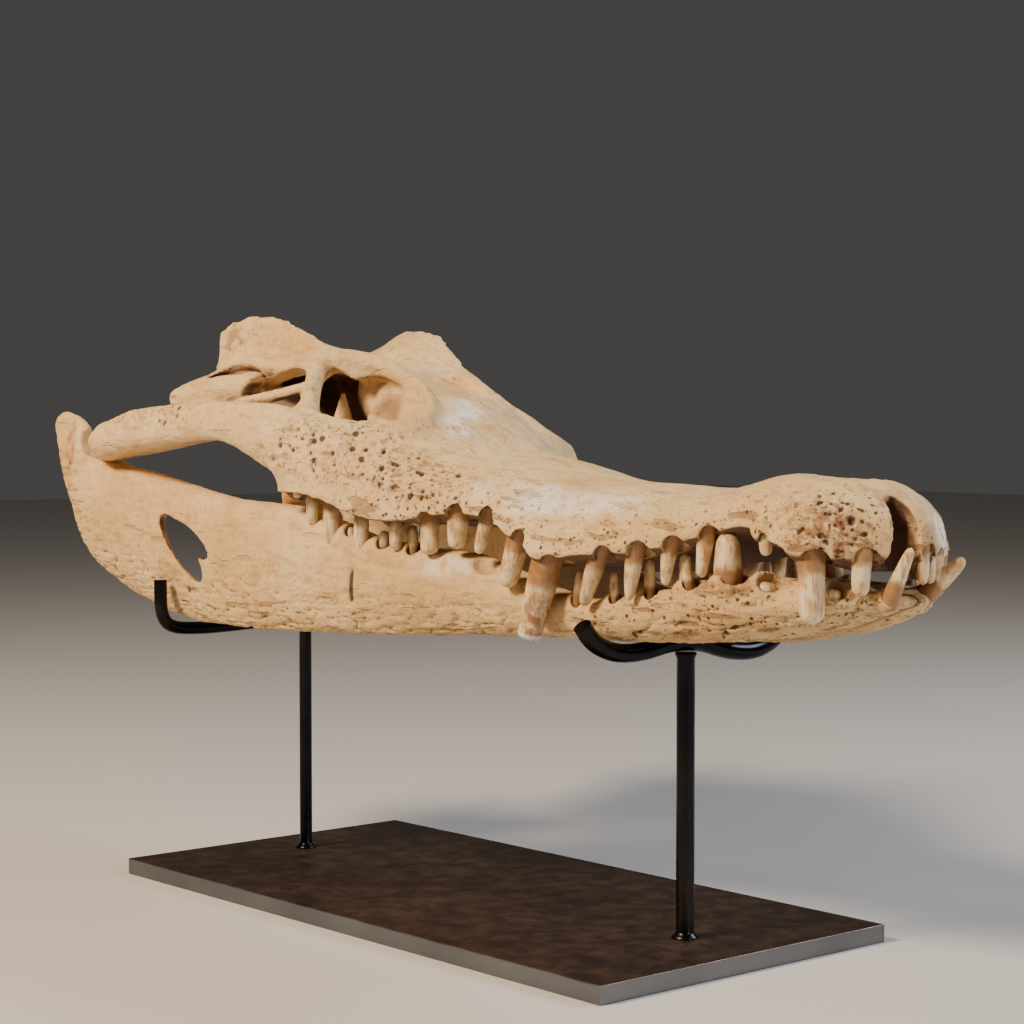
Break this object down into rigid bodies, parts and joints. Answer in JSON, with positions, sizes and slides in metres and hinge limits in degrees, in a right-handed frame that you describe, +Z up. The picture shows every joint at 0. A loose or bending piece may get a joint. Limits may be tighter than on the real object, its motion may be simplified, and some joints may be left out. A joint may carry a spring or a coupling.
{
  "type": "mounted crocodile skull",
  "caption": "Life-size adult crocodile skull with its lower jaw in place, held in two bent steel cradles on posts over a flat rectangular steel base plate.",
  "frame": {"origin": "centre of the base plate's underside", "axes": "+X along the skull towards the snout, +Y to the animal's left, +Z up"},
  "size_m": [0.6479, 0.2602, 0.3543],
  "materials": {
    "bone": "dry cream bone, matt, pored and faintly cracked",
    "plate_steel": "blackened steel plate, satin, brown sheen",
    "rod_steel": "black bent rod, semi-gloss"
  },
  "bodies": {
    "root": {"snout": "bone", "braincase": "bone", "cheek_left": "bone", "cheek_right": "bone", "mandible_left": "bone", "mandible_right": "bone", "stand_base": "plate_steel", "stand_post_front": "rod_steel", "stand_post_rear": "rod_steel", "stand_cradle_front": "rod_steel", "stand_cradle_rear": "rod_steel"}
  },
  "joints": []
}
